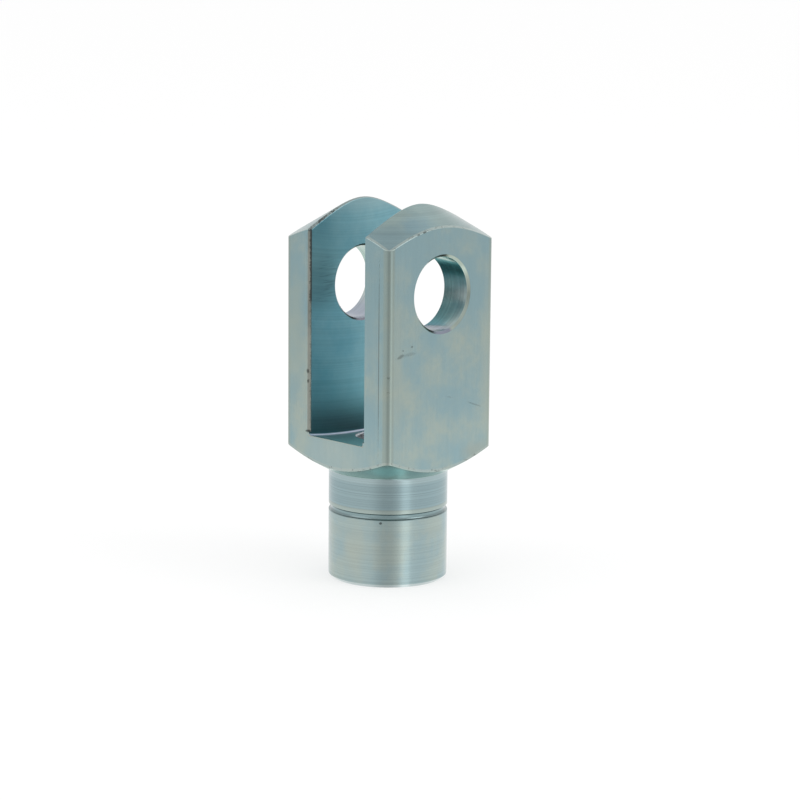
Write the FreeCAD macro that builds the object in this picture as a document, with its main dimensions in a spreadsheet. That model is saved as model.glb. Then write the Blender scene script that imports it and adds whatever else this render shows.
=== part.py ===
import FreeCAD, Part
import os
import Sketcher

# Fork head (clevis) for a tension rod, machined from one length of square steel bar.
# It stands on its neck end: the origin is the centre of that end face and +Z points up the fork.
# The slot runs through along X, and the pin bore runs along Y through both ears.

# Driving sizes, in millimetres and degrees. Each can be set by itself.
DRIVING_SIZES = {
    # drawn square bar
    "bar_side": 32,
    "bar_corner_radius": 1.75,
    "bar_length": 83,
    # turned cone on the fork end: it starts at the rim of a flat disc, which the slot then takes away
    "top_flat_diameter": 16.4,
    "top_cone_angle": 31.25,
    # turned neck, its end chamfer and the cone of the shoulder above it
    "neck_diameter": 26,
    "neck_length": 24,
    "neck_root_radius": 0.4,
    "neck_end_chamfer": 0.65,
    "shoulder_cone_angle": 29.3,
    # ring groove for the spring clip's collar
    "clip_groove_height": 15.6,
    "clip_groove_width": 1.3,
    "clip_groove_depth": 0.6,
    # slot, milled by a wide disc that leaves a hollow floor and small corner radii
    "slot_width": 16.5,
    "slot_edge_chamfer": 0.55,
    "slot_floor_height": 32,
    "cutter_diameter": 240,
    "cutter_corner_radius": 0.4,
    # pin bore
    "pin_bore_diameter": 16,
    "pin_bore_height": 64,
    "pin_bore_chamfer": 0.55,
    # core hole of the rod's thread, and its countersunk mouth
    "thread_core_diameter": 13.84,
    "thread_mouth_diameter": 16.6,
    # how far a cut runs past the steel that it removes
    "cut_overrun": 2,
}

# Lengths that follow from the driving sizes.
HALF_BAR = "Sizes.bar_side / 2"
BAR_REACH = "(Sizes.bar_side / sqrt(2) + Sizes.cut_overrun)"
BELOW_NECK = "-Sizes.cut_overrun"
ABOVE_TOP = "Sizes.bar_length + Sizes.cut_overrun"
TOP_FLAT_RADIUS = "Sizes.top_flat_diameter / 2"
NECK_RADIUS = "Sizes.neck_diameter / 2"
FLAT_BESIDE_SLOT = f"({TOP_FLAT_RADIUS} - Sizes.slot_width / 2)"
CUTTER_RADIUS = "Sizes.cutter_diameter / 2"
CUTTER_AXIS_HEIGHT = f"Sizes.slot_floor_height + sqrt(({CUTTER_RADIUS})^2 - ({HALF_BAR})^2)"

# Points closer than this are the same place when an edge is looked up.
SAME_PLACE = 1e-4


def make_sheet(document):
    """Write the driving sizes into a sheet, one row each, with the size's name as its alias."""
    sheet = document.addObject("Spreadsheet::Sheet", "Sizes")
    for row, (size_name, size) in enumerate(DRIVING_SIZES.items(), start=1):
        sheet.set(f"A{row}", size_name)
        sheet.set(f"B{row}", str(size))
        sheet.setAlias(f"B{row}", size_name)
    document.recompute()
    return sheet


def new_sketch(body, name, plane_role):
    """Start a sketch on one of the body's own origin planes."""
    sketch = body.newObject("Sketcher::SketchObject", name)
    for feature in body.Origin.OriginFeatures:
        if feature.Role == plane_role:
            sketch.AttachmentSupport = (feature, "")
    sketch.MapMode = "FlatFace"
    return sketch


def worked_out(sketch, expression):
    """Value of a sheet expression, as a plain number."""
    return float(sketch.evalExpression(expression))


def tie(sketch, kind, places, expression):
    """Add a sized constraint to a sketch and bind it to a sheet expression."""
    size = worked_out(sketch, expression)
    index = sketch.addConstraint(Sketcher.Constraint(kind, *places, size))
    sketch.setExpression(f"Constraints[{index}]", expression)


def place_point(sketch, edge, end, across, up):
    """Hold one end of an edge at its distances from the sketch's origin."""
    tie(sketch, "DistanceX", (-1, 1, edge, end), across)
    tie(sketch, "DistanceY", (-1, 1, edge, end), up)


def add_outline(sketch, corners):
    """Draw a closed outline of straight edges through corners given as sheet expressions."""
    points = []
    for across, up in corners:
        points.append(FreeCAD.Vector(worked_out(sketch, across), worked_out(sketch, up), 0))
    for start, end in zip(points, points[1:] + points[:1]):
        sketch.addGeometry(Part.LineSegment(start, end))
    for edge, (across, up) in enumerate(corners):
        previous = (edge - 1) % len(corners)
        sketch.addConstraint(Sketcher.Constraint("Coincident", previous, 2, edge, 1))
        place_point(sketch, edge, 1, across, up)


def edge_names(feature, wanted):
    """Names of the edges of a feature's shape that pass the wanted test."""
    names = []
    for number, edge in enumerate(feature.Shape.Edges, start=1):
        if wanted(edge):
            names.append(f"Edge{number}")
    return names


def follows_circle(edge, radius, centre):
    """Whether an edge runs along a circle of this radius about this centre."""
    if not isinstance(edge.Curve, Part.Circle):
        return False
    same_radius = abs(edge.Curve.Radius - radius) < SAME_PLACE
    return same_radius and edge.Curve.Center.isEqual(centre, SAME_PLACE)


def turn_away(body, name, corners):
    """Remove a ring that is turned about the Z axis, from an outline in the XZ plane."""
    sketch = new_sketch(body, f"{name}Profile", "XZ_Plane")
    add_outline(sketch, corners)
    groove = body.newObject("PartDesign::Groove", name)
    groove.Profile = sketch
    groove.ReferenceAxis = (sketch, ["V_Axis"])
    groove.Angle = 360
    return groove


def finish_edges(body, kind, name, base, wanted, size_property, size_expression):
    """Round or chamfer the wanted edges of the feature that comes before."""
    finish = body.newObject(f"PartDesign::{kind}", name)
    finish.Base = (base, edge_names(base, wanted))
    finish.setExpression(size_property, size_expression)
    return finish


def cut_bar(body):
    """Square bar, drawn with rounded edges, cut to length."""
    sketch = new_sketch(body, "BarSection", "XY_Plane")
    add_outline(sketch, [
        (f"-{HALF_BAR}", f"-{HALF_BAR}"),
        (HALF_BAR, f"-{HALF_BAR}"),
        (HALF_BAR, HALF_BAR),
        (f"-{HALF_BAR}", HALF_BAR),
    ])
    bar = body.newObject("PartDesign::Pad", "SquareBar")
    bar.Profile = sketch
    bar.setExpression("Length", "Sizes.bar_length")
    body.Document.recompute()

    def runs_up_the_bar(edge):
        low, high = edge.Vertexes[0].Point, edge.Vertexes[-1].Point
        return abs(high.z - low.z) > SAME_PLACE

    finish_edges(body, "Fillet", "BarEdges", bar, runs_up_the_bar, "Radius", "Sizes.bar_corner_radius")


def turn_top(body):
    """Cone turned on the fork end. On the flat sides it leaves the ears' arched tops."""
    cone_drop = f"({BAR_REACH} - {TOP_FLAT_RADIUS}) * tan(Sizes.top_cone_angle)"
    turn_away(body, "TopCone", [
        (TOP_FLAT_RADIUS, "Sizes.bar_length"),
        (BAR_REACH, f"Sizes.bar_length - {cone_drop}"),
        (BAR_REACH, ABOVE_TOP),
        (TOP_FLAT_RADIUS, ABOVE_TOP),
    ])


def turn_neck(body):
    """Round neck with a conical shoulder, a small root radius and a chamfered end."""
    cone_rise = f"({BAR_REACH} - {NECK_RADIUS}) * tan(Sizes.shoulder_cone_angle)"
    neck = turn_away(body, "NeckTurning", [
        (NECK_RADIUS, BELOW_NECK),
        (BAR_REACH, BELOW_NECK),
        (BAR_REACH, f"Sizes.neck_length + {cone_rise}"),
        (NECK_RADIUS, "Sizes.neck_length"),
    ])
    body.Document.recompute()
    radius = worked_out(neck, NECK_RADIUS)
    root_centre = FreeCAD.Vector(0, 0, worked_out(neck, "Sizes.neck_length"))

    def is_root(edge):
        return follows_circle(edge, radius, root_centre)

    def is_end(edge):
        return follows_circle(edge, radius, FreeCAD.Vector())

    root = finish_edges(body, "Fillet", "NeckRoot", neck, is_root, "Radius", "Sizes.neck_root_radius")
    body.Document.recompute()
    finish_edges(body, "Chamfer", "NeckEnd", root, is_end, "Size", "Sizes.neck_end_chamfer")


def turn_clip_groove(body):
    """Ring groove round the neck that holds the collar of a spring clip."""
    floor_radius = f"{NECK_RADIUS} - Sizes.clip_groove_depth"
    outside = f"{NECK_RADIUS} + Sizes.cut_overrun"
    lower_lip = "Sizes.clip_groove_height - Sizes.clip_groove_width / 2"
    upper_lip = "Sizes.clip_groove_height + Sizes.clip_groove_width / 2"
    turn_away(body, "ClipGroove", [
        (floor_radius, lower_lip),
        (outside, lower_lip),
        (outside, upper_lip),
        (floor_radius, upper_lip),
    ])


def mill_slot(body):
    """Slot milled by a wide disc: flat walls with chamfered edges, a hollow floor, rounded corners."""
    sketch = new_sketch(body, "SlotProfile", "XZ_Plane")
    reach = worked_out(sketch, BAR_REACH)
    radius = worked_out(sketch, CUTTER_RADIUS)
    axis_height = worked_out(sketch, CUTTER_AXIS_HEIGHT)
    top = worked_out(sketch, ABOVE_TOP)
    half_slot = worked_out(sketch, "Sizes.slot_width / 2")
    lowest = FreeCAD.Vector(0, axis_height - radius, 0)
    edge_height = axis_height - (radius ** 2 - reach ** 2) ** 0.5
    left = FreeCAD.Vector(-reach, edge_height, 0)
    right = FreeCAD.Vector(reach, edge_height, 0)
    left_top = FreeCAD.Vector(-reach, top, 0)
    right_top = FreeCAD.Vector(reach, top, 0)
    floor = sketch.addGeometry(Part.Arc(left, lowest, right))
    right_side = sketch.addGeometry(Part.LineSegment(right, right_top))
    over = sketch.addGeometry(Part.LineSegment(right_top, left_top))
    left_side = sketch.addGeometry(Part.LineSegment(left_top, left))
    sketch.addConstraint(Sketcher.Constraint("Coincident", floor, 2, right_side, 1))
    sketch.addConstraint(Sketcher.Constraint("Coincident", right_side, 2, over, 1))
    sketch.addConstraint(Sketcher.Constraint("Coincident", over, 2, left_side, 1))
    sketch.addConstraint(Sketcher.Constraint("Coincident", left_side, 2, floor, 1))
    sketch.addConstraint(Sketcher.Constraint("Vertical", right_side))
    sketch.addConstraint(Sketcher.Constraint("Vertical", left_side))
    sketch.addConstraint(Sketcher.Constraint("PointOnObject", floor, 3, -2))
    tie(sketch, "DistanceY", (-1, 1, floor, 3), CUTTER_AXIS_HEIGHT)
    tie(sketch, "Radius", (floor,), CUTTER_RADIUS)
    place_point(sketch, over, 1, BAR_REACH, ABOVE_TOP)
    place_point(sketch, over, 2, f"-{BAR_REACH}", ABOVE_TOP)

    slot = body.newObject("PartDesign::Pocket", "ForkSlot")
    slot.Profile = sketch
    slot.Midplane = True
    slot.setExpression("Length", "Sizes.slot_width")
    body.Document.recompute()

    floor_height = worked_out(sketch, "Sizes.slot_floor_height")

    def runs_round_an_ear(edge):
        on_the_wall = all(abs(abs(vertex.Y) - half_slot) < SAME_PLACE for vertex in edge.Vertexes)
        return on_the_wall and edge.CenterOfMass.z > floor_height

    # If some of the flat disc stands beside the slot, the chamfer takes no more than a third of it.
    edge_chamfer = "Sizes.slot_edge_chamfer"
    limited = f"min({edge_chamfer}; {FLAT_BESIDE_SLOT} / 3)"
    chamfer = f"{FLAT_BESIDE_SLOT} > 0 ? {limited} : {edge_chamfer}"
    mouth = finish_edges(body, "Chamfer", "SlotEdges", slot, runs_round_an_ear, "Size", chamfer)
    body.Document.recompute()

    def runs_along_the_floor(edge):
        centres = (FreeCAD.Vector(0, side * half_slot, axis_height) for side in (-1, 1))
        return any(follows_circle(edge, radius, centre) for centre in centres)

    corner_radius = "Sizes.cutter_corner_radius"
    finish_edges(body, "Fillet", "SlotRoots", mouth, runs_along_the_floor, "Radius", corner_radius)


def drill_pin_bore(body):
    """Bore for the pin through both ears, chamfered where the pin goes in."""
    sketch = new_sketch(body, "PinBoreCircle", "XZ_Plane")
    diameter = worked_out(sketch, "Sizes.pin_bore_diameter")
    height = worked_out(sketch, "Sizes.pin_bore_height")
    half_bar = worked_out(sketch, HALF_BAR)
    centre = FreeCAD.Vector(0, height, 0)
    circle = sketch.addGeometry(Part.Circle(centre, FreeCAD.Vector(0, 0, 1), diameter / 2))
    sketch.addConstraint(Sketcher.Constraint("PointOnObject", circle, 3, -2))
    tie(sketch, "DistanceY", (-1, 1, circle, 3), "Sizes.pin_bore_height")
    tie(sketch, "Diameter", (circle,), "Sizes.pin_bore_diameter")
    bore = body.newObject("PartDesign::Pocket", "PinBore")
    bore.Profile = sketch
    bore.Midplane = True
    bore.Type = "ThroughAll"
    body.Document.recompute()

    def is_outer_rim(edge):
        centres = (FreeCAD.Vector(0, side * half_bar, height) for side in (-1, 1))
        return any(follows_circle(edge, diameter / 2, centre) for centre in centres)

    finish_edges(body, "Chamfer", "PinBoreRims", bore, is_outer_rim, "Size", "Sizes.pin_bore_chamfer")


def drill_thread_core(body):
    """Core hole of the rod's thread, from the neck end into the slot, with a countersunk mouth."""
    sketch = new_sketch(body, "ThreadCoreCircle", "XY_Plane")
    diameter = worked_out(sketch, "Sizes.thread_core_diameter")
    circle = sketch.addGeometry(Part.Circle(FreeCAD.Vector(), FreeCAD.Vector(0, 0, 1), diameter / 2))
    sketch.addConstraint(Sketcher.Constraint("Coincident", circle, 3, -1, 1))
    tie(sketch, "Diameter", (circle,), "Sizes.thread_core_diameter")
    core = body.newObject("PartDesign::Pocket", "ThreadCore")
    core.Profile = sketch
    core.Reversed = True
    core.setExpression("Length", "Sizes.slot_floor_height")
    body.Document.recompute()

    def is_mouth(edge):
        return follows_circle(edge, diameter / 2, FreeCAD.Vector())

    mouth_depth = "(Sizes.thread_mouth_diameter - Sizes.thread_core_diameter) / 2"
    finish_edges(body, "Chamfer", "ThreadMouth", core, is_mouth, "Size", mouth_depth)


def check_features(document):
    """Stop if any object of the document failed to build."""
    for item in document.Objects:
        if "Invalid" in item.State or "Error" in item.State:
            raise RuntimeError(f"{item.Name} did not build: {item.State}")


def check_cuts(body):
    """Stop if a feature after the bar left the solid no smaller, because then it cut nothing."""
    volume_before = None
    for feature in body.Group:
        if feature.isDerivedFrom("Sketcher::SketchObject"):
            continue
        volume = feature.Shape.Volume
        adds_steel = feature.Name in ("SquareBar", "NeckRoot", "SlotRoots")
        if volume_before is not None and not adds_steel and volume >= volume_before:
            raise RuntimeError(f"{feature.Name} cut nothing")
        volume_before = volume


def check_shape(body):
    """Stop unless the finished piece is one valid solid."""
    shape = body.Shape
    if shape.isNull() or not shape.isValid() or len(shape.Solids) != 1:
        raise RuntimeError(f"{body.Label} is not one valid solid")


document = FreeCAD.newDocument("TensionRodClevis")
make_sheet(document)

clevis = document.addObject("PartDesign::Body", "Clevis")
clevis.Label = "clevis"
clevis.Placement = FreeCAD.Placement()
TURNING = (turn_top, turn_neck, turn_clip_groove)
MILLING_AND_DRILLING = (mill_slot, drill_pin_bore, drill_thread_core)
for machining_step in (cut_bar, *TURNING, *MILLING_AND_DRILLING):
    machining_step(clevis)
    document.recompute()

check_features(document)
check_cuts(clevis)
check_shape(clevis)

os.makedirs("parts", exist_ok=True)
clevis.Shape.exportStep(f"parts/{clevis.Label}.step")
box = clevis.Shape.optimalBoundingBox()
print(f"{clevis.Label}: {box.XLength:.2f} x {box.YLength:.2f} x {box.ZLength:.2f} mm")
print(f"volume {clevis.Shape.Volume:.0f} cubic millimetres")
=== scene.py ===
import math
import bpy
from mathutils import Matrix, Vector


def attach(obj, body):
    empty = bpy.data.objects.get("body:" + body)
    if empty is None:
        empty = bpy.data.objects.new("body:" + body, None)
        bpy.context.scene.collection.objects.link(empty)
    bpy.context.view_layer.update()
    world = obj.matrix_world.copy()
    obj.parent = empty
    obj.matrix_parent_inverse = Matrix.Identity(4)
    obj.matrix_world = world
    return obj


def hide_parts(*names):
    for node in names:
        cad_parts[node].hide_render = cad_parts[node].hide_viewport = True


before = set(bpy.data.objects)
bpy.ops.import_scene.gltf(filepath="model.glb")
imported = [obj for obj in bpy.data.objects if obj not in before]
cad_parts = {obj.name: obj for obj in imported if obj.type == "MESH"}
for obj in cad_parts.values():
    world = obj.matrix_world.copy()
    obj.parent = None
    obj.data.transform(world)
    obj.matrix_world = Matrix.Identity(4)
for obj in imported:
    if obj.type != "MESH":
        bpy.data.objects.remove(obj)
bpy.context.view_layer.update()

# Camera.
# A long lens from the corner between the slot's open side and the bored ear, a little above the fork,
# as in the photograph. Its place was fitted to the edges of the bar, the bores and the neck.
CAMERA_PLACE = Vector((-0.43824726, -0.44336131, 0.15727936))
CAMERA_AHEAD = Vector((0.69339701, 0.695998, -0.18651374))
CAMERA_RIGHT = Vector((0.70955154, -0.70460133, 0.0085774))
CAMERA_UP = Vector((0.12544798, 0.13828866, 0.98241491))
LENS_LENGTH = 131.11
SENSOR_WIDTH = 36.0
NEAREST_SEEN = 0.01
FARTHEST_SEEN = 50.0
camera_data = bpy.data.cameras.new("studio_camera")
camera_data.lens = LENS_LENGTH
camera_data.sensor_width = SENSOR_WIDTH
camera_data.clip_start = NEAREST_SEEN
camera_data.clip_end = FARTHEST_SEEN
camera = bpy.data.objects.new("studio_camera", camera_data)
camera_turn = Matrix((CAMERA_RIGHT, CAMERA_UP, -CAMERA_AHEAD)).transposed()
camera.matrix_world = Matrix.Translation(CAMERA_PLACE) @ camera_turn.to_4x4()
bpy.context.scene.collection.objects.link(camera)
bpy.context.scene.camera = camera
bpy.context.scene.view_settings.view_transform = "Standard"


# Studio: a white sheet on the table and white walls, with soft lamps from above.
# In reflections the sheet glows with a painted pattern: painted shade towards the lens and a painted pool of
# light to the right of it, which is what the polished neck and the rounded bar corners show.
FLOOR_REACH = 8.0
SHEET_GLOW = 0.52
SHEET_WHITE = 0.5
FAR_SHEET = 0.86
NEAR_REACH = 0.12
FAR_REACH = 0.45
NECK_SHARE = 0.0065
HIGHEST_LEVEL = 2.0
BEARING_LEVELS = (
    (-180.0, 0.95), (-60.0, 0.97), (-38.0, 0.95), (-18.0, 0.78), (0.0, 0.68), (14.0, 0.78),
    (26.0, 1.08), (36.0, 1.30), (46.0, 1.06), (60.0, 0.97), (110.0, 1.02), (180.0, 1.0),
)


def add_node(tree, kind, inputs=None, **options):
    """Add a node, set its options, and link or fill its inputs, given by name or number."""
    node = tree.nodes.new(kind)
    for option, choice in options.items():
        setattr(node, option, choice)
    for socket, value in (inputs or {}).items():
        if isinstance(value, bpy.types.NodeSocket):
            tree.links.new(value, node.inputs[socket])
        else:
            node.inputs[socket].default_value = value
    return node


def worked(tree, operation, *values):
    """One step of arithmetic on sockets or numbers."""
    return add_node(tree, "ShaderNodeMath", dict(enumerate(values)), operation=operation).outputs[0]


def eased(tree, value, low, high, at_low=0.0, at_high=1.0):
    """Value carried smoothly from one level to another between two limits."""
    limits = {0: value, 1: low, 2: high, 3: at_low, 4: at_high}
    step = add_node(tree, "ShaderNodeMapRange", limits, interpolation_type="SMOOTHSTEP")
    return step.outputs[0]


def mixed(tree, factor, first, second):
    """Blend of two colours."""
    return add_node(tree, "ShaderNodeMix", {0: factor, 6: first, 7: second}, data_type="RGBA").outputs[2]


def blended(tree, factor, first, second):
    """Blend of two values."""
    return add_node(tree, "ShaderNodeMix", {0: factor, 2: first, 3: second}, data_type="FLOAT").outputs[0]


def pointing(tree, direction, way):
    """How far a direction points along another one."""
    product = add_node(tree, "ShaderNodeVectorMath", {0: direction, 1: way}, operation="DOT_PRODUCT")
    return product.outputs[1]


def level_by_bearing(tree, direction, spread=1.0):
    """Brightness of the surroundings round the clevis, by bearing from the line to the lens."""
    lens_way = Vector((-CAMERA_AHEAD.x, -CAMERA_AHEAD.y, 0.0)).normalized()
    to_right = pointing(tree, direction, CAMERA_RIGHT)
    to_lens = pointing(tree, direction, lens_way)
    bearing = worked(tree, "MULTIPLY", worked(tree, "ARCTAN2", to_right, to_lens), spread)
    place = add_node(tree, "ShaderNodeMapRange", {0: bearing, 1: -math.pi, 2: math.pi}).outputs[0]
    curve = add_node(tree, "ShaderNodeFloatCurve", {1: place})
    line = curve.mapping.curves[0]
    curve.mapping.clip_max_y = HIGHEST_LEVEL
    while len(line.points) < len(BEARING_LEVELS):
        line.points.new(0.5, 1.0)
    for point, (degrees, level) in zip(line.points, BEARING_LEVELS):
        point.location = ((degrees + 180.0) / 360.0, level)
    curve.mapping.update()
    return curve.outputs[0]


sheet_mesh = bpy.data.meshes.new("white_sheet")
quarters = ((-1, -1), (1, -1), (1, 1), (-1, 1))
corners = [(right * FLOOR_REACH, back * FLOOR_REACH, 0) for right, back in quarters]
sheet_mesh.from_pydata(corners, [], [(0, 1, 2, 3)])
white_sheet = bpy.data.objects.new("white_sheet", sheet_mesh)
bpy.context.scene.collection.objects.link(white_sheet)
sheet_paper = bpy.data.materials.new("sheet_paper")
sheet_paper.use_nodes = True
paper = sheet_paper.node_tree
paper.nodes.clear()
paper_place = add_node(paper, "ShaderNodeTexCoord").outputs["Object"]
paper_distance = add_node(paper, "ShaderNodeVectorMath", {0: paper_place}, operation="LENGTH").outputs[1]
# Painted light on the sheet's glow that reflections see: dimmer farther off, with the bearing pattern's
# painted shade and pool of light.
fall_off = eased(paper, paper_distance, NEAR_REACH, FAR_REACH, 1.0, FAR_SHEET)
beyond_neck = worked(paper, "MAXIMUM", worked(paper, "SUBTRACT", paper_distance, NECK_SHARE), NECK_SHARE)
neck_spread = worked(paper, "DIVIDE", paper_distance, beyond_neck)
painted_mirror_glow = worked(paper, "MULTIPLY", level_by_bearing(paper, paper_place, neck_spread), fall_off)
paper_path = add_node(paper, "ShaderNodeLightPath")
glow = add_node(paper, "ShaderNodeEmission", {"Strength": SHEET_GLOW})
dull = add_node(paper, "ShaderNodeBsdfDiffuse", {"Color": (SHEET_WHITE, SHEET_WHITE, SHEET_WHITE, 1)})
seen_sheet = add_node(paper, "ShaderNodeAddShader", {0: glow.outputs[0], 1: dull.outputs[0]})
mirrored_sheet = add_node(paper, "ShaderNodeEmission", {"Strength": painted_mirror_glow})
in_metal = paper_path.outputs["Is Glossy Ray"]
sheet_looks = {0: in_metal, 1: seen_sheet.outputs[0], 2: mirrored_sheet.outputs[0]}
sheet = add_node(paper, "ShaderNodeMixShader", sheet_looks)
add_node(paper, "ShaderNodeOutputMaterial", {"Surface": sheet.outputs[0]})
sheet_mesh.materials.append(sheet_paper)

WALL_LEVEL = 1.0
SEEN_LEVEL = 1.0
CEILING_LEVEL = 0.8
CEILING_START = 0.72
CEILING_END = 0.97
walls = bpy.data.worlds.new("white_walls")
bpy.context.scene.world = walls
walls.use_nodes = True
room = walls.node_tree
room.nodes.clear()
room_way = add_node(room, "ShaderNodeTexCoord").outputs["Generated"]
room_height = add_node(room, "ShaderNodeSeparateXYZ", {0: room_way}).outputs[2]
ceiling = eased(room, room_height, CEILING_START, CEILING_END, WALL_LEVEL, CEILING_LEVEL)
wall_pattern = eased(room, room_height, 0.0, CEILING_START)
wall_level = blended(room, wall_pattern, level_by_bearing(room, room_way), ceiling)
to_camera = add_node(room, "ShaderNodeLightPath").outputs["Is Camera Ray"]
room_level = blended(room, to_camera, wall_level, SEEN_LEVEL)
room_light = add_node(room, "ShaderNodeBackground", {"Color": (1, 1, 1, 1), "Strength": room_level})
add_node(room, "ShaderNodeOutputWorld", {"Surface": room_light.outputs[0]})

LAMP_AIM = Vector((0.0, 0.0, 0.04))


def hang_lamp(name, place, width, power):
    """Soft square lamp that points at the middle of the clevis."""
    lamp_data = bpy.data.lights.new(name, "AREA")
    lamp_data.shape = "SQUARE"
    lamp_data.size = width
    lamp_data.energy = power
    lamp = bpy.data.objects.new(name, lamp_data)
    lamp.location = place
    lamp.rotation_mode = "QUATERNION"
    lamp.rotation_quaternion = (LAMP_AIM - Vector(place)).to_track_quat("-Z", "Y")
    bpy.context.scene.collection.objects.link(lamp)


hang_lamp("key_lamp", place=(0.35, -0.9, 0.75), width=0.6, power=1.6)
hang_lamp("fill_lamp", place=(-0.95, 0.3, 0.6), width=0.8, power=1.2)


# Fork head: one length of drawn square steel bar, turned at both ends, slotted by a wide disc cutter,
# cross bored for the pin and threaded for the rod, then zinc plated with a blue passivation.
# The solids below are the bar and what each tool takes away from it, in the order of the machining.
MM = 0.001
SIZES = {
    "Bar side": 32 * MM,
    "Bar corner radius": 1.75 * MM,
    "Bar length": 83 * MM,
    "Top flat radius": 8.2 * MM,
    "Top cone slope": math.tan(math.radians(31.25)),
    "Neck radius": 13 * MM,
    "Neck length": 24 * MM,
    "Neck end chamfer": 0.65 * MM,
    "Shoulder slope": math.tan(math.radians(29.3)),
    "Groove height": 15.6 * MM,
    "Groove width": 1.3 * MM,
    "Groove depth": 0.6 * MM,
    "Slot width": 16.5 * MM,
    "Slot floor height": 32 * MM,
    "Slot chamfer": 0.55 * MM,
    "Slot chamfer end height": 32.85 * MM,
    "Cutter radius": 120 * MM,
    "Cutter corner radius": 0.4 * MM,
    "Pin bore radius": 8 * MM,
    "Pin bore height": 64 * MM,
    "Pin bore chamfer": 0.55 * MM,
    "Pin bore inner chamfer": 0.45 * MM,
    "Thread core radius": 6.92 * MM,
    "Thread crest radius": 8.0 * MM,
    "Thread mouth radius": 8.3 * MM,
    "Thread pitch": 2 * MM,
    "Overrun": 2 * MM,
    "Finest chord": 0.004 * MM,
}
TURNING_STEPS = 200
CUTTER_STEPS = 1440
BORE_STEPS = 192
THREAD_STEPS = 64
CORNER_STEPS = 10
ROOT_ROUND = 0.4 * MM
EDGE_BREAK = 0.3
SHARP_TURN = math.radians(28)
CORNER_TURN = math.radians(50)
THREAD_MARGIN = 0.1 * MM
ROOT_NEARNESS = 0.2 * MM
DRAWN, TURNED, SLOTTED, BORED, THREADED, FILED = range(6)

machining = bpy.data.node_groups.new("clevis_machining", "GeometryNodeTree")
sockets = machining.interface
sockets.new_socket(name="Geometry", in_out="INPUT", socket_type="NodeSocketGeometry")
for size_name, size in SIZES.items():
    size_input = sockets.new_socket(name=size_name, in_out="INPUT", socket_type="NodeSocketFloat")
    size_input.default_value = size
sockets.new_socket(name="Plating", in_out="INPUT", socket_type="NodeSocketMaterial")
sockets.new_socket(name="Geometry", in_out="OUTPUT", socket_type="NodeSocketGeometry")
sized = machining.nodes.new("NodeGroupInput").outputs


def made(kind, inputs=None, **options):
    """What one step of the machining gives."""
    return add_node(machining, kind, inputs, **options).outputs[0]


def calc(operation, *values):
    """One step of arithmetic on the machining's sizes."""
    return worked(machining, operation, *values)


def opposite(size):
    """The same size the other way."""
    return calc("MULTIPLY", size, -1.0)


def square_of(size):
    """A size times itself."""
    return calc("MULTIPLY", size, size)


def point_at(x=0.0, y=0.0, z=0.0):
    """Place given by its three measures."""
    return made("ShaderNodeCombineXYZ", {0: x, 1: y, 2: z})


def measures_here():
    """The three measures of the point that is being worked on."""
    here = made("GeometryNodeInputPosition")
    return add_node(machining, "ShaderNodeSeparateXYZ", {0: here}).outputs


def marked(solid, tool):
    """Note on every face which tool leaves it."""
    note = {"Geometry": solid, "Name": "tool", "Value": float(tool)}
    return made("GeometryNodeStoreNamedAttribute", note, data_type="FLOAT", domain="FACE")


def swept(line, profile):
    """Solid that a profile sweeps along a line, closed at both ends."""
    return made("GeometryNodeCurveToMesh", {"Curve": line, "Profile Curve": profile, "Fill Caps": True})


def four_cornered(*corners):
    """Flat profile through four corners."""
    points = {f"Point {number}": point_at(*corner) for number, corner in enumerate(corners, 1)}
    return made("GeometryNodeCurvePrimitiveQuadrilateral", points, mode="POINTS")


TUBE_DEPTH = 1.0


def turned_solid(outline, steps):
    """Solid turned about Z from an outline of radii and heights, lowest first."""
    last_row = len(outline) - 1
    tube_sizes = {"Vertices": steps, "Side Segments": last_row, "Radius": 1.0, "Depth": TUBE_DEPTH}
    tube = made("GeometryNodeMeshCylinder", tube_sizes, fill_type="NGON")
    x, y, z = measures_here()
    row = calc("ROUND", calc("MULTIPLY", calc("ADD", z, TUBE_DEPTH / 2), float(last_row)))
    looked_up = []
    for column in range(2):
        switch = add_node(machining, "GeometryNodeIndexSwitch", data_type="FLOAT")
        while len(switch.index_switch_items) < len(outline):
            switch.index_switch_items.new()
        machining.links.new(row, switch.inputs[0])
        for number, point in enumerate(outline):
            if isinstance(point[column], bpy.types.NodeSocket):
                machining.links.new(point[column], switch.inputs[number + 1])
            else:
                switch.inputs[number + 1].default_value = point[column]
        looked_up.append(switch.outputs[0])
    radius, height = looked_up
    ring_place = point_at(calc("MULTIPLY", x, radius), calc("MULTIPLY", y, radius), height)
    return made("GeometryNodeSetPosition", {"Geometry": tube, "Position": ring_place})


def laid_along_y(solid, height):
    """Turn a solid's axis from Z to Y and lift it to a height."""
    laid = {"Geometry": solid, "Translation": point_at(z=height), "Rotation": (math.pi / 2, 0, 0)}
    return made("GeometryNodeTransform", laid)


bar_side, bar_length, overrun = sized["Bar side"], sized["Bar length"], sized["Overrun"]
half_bar = calc("DIVIDE", bar_side, 2.0)
below = opposite(overrun)
above = calc("ADD", bar_length, overrun)
bar_reach = calc("ADD", calc("MULTIPLY", half_bar, math.sqrt(2)), overrun)

# Drawn square bar with rounded edges.
section = made("GeometryNodeCurvePrimitiveQuadrilateral", {"Width": bar_side, "Height": bar_side})
rounding = {"Curve": section, "Count": CORNER_STEPS, "Radius": sized["Bar corner radius"]}
rounded_section = made("GeometryNodeFilletCurve", rounding, mode="POLY")
bar_ends = {"Start": point_at(z=below), "End": point_at(z=above)}
bar_line = made("GeometryNodeCurvePrimitiveLine", bar_ends)
bar = marked(swept(bar_line, rounded_section), DRAWN)

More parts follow.
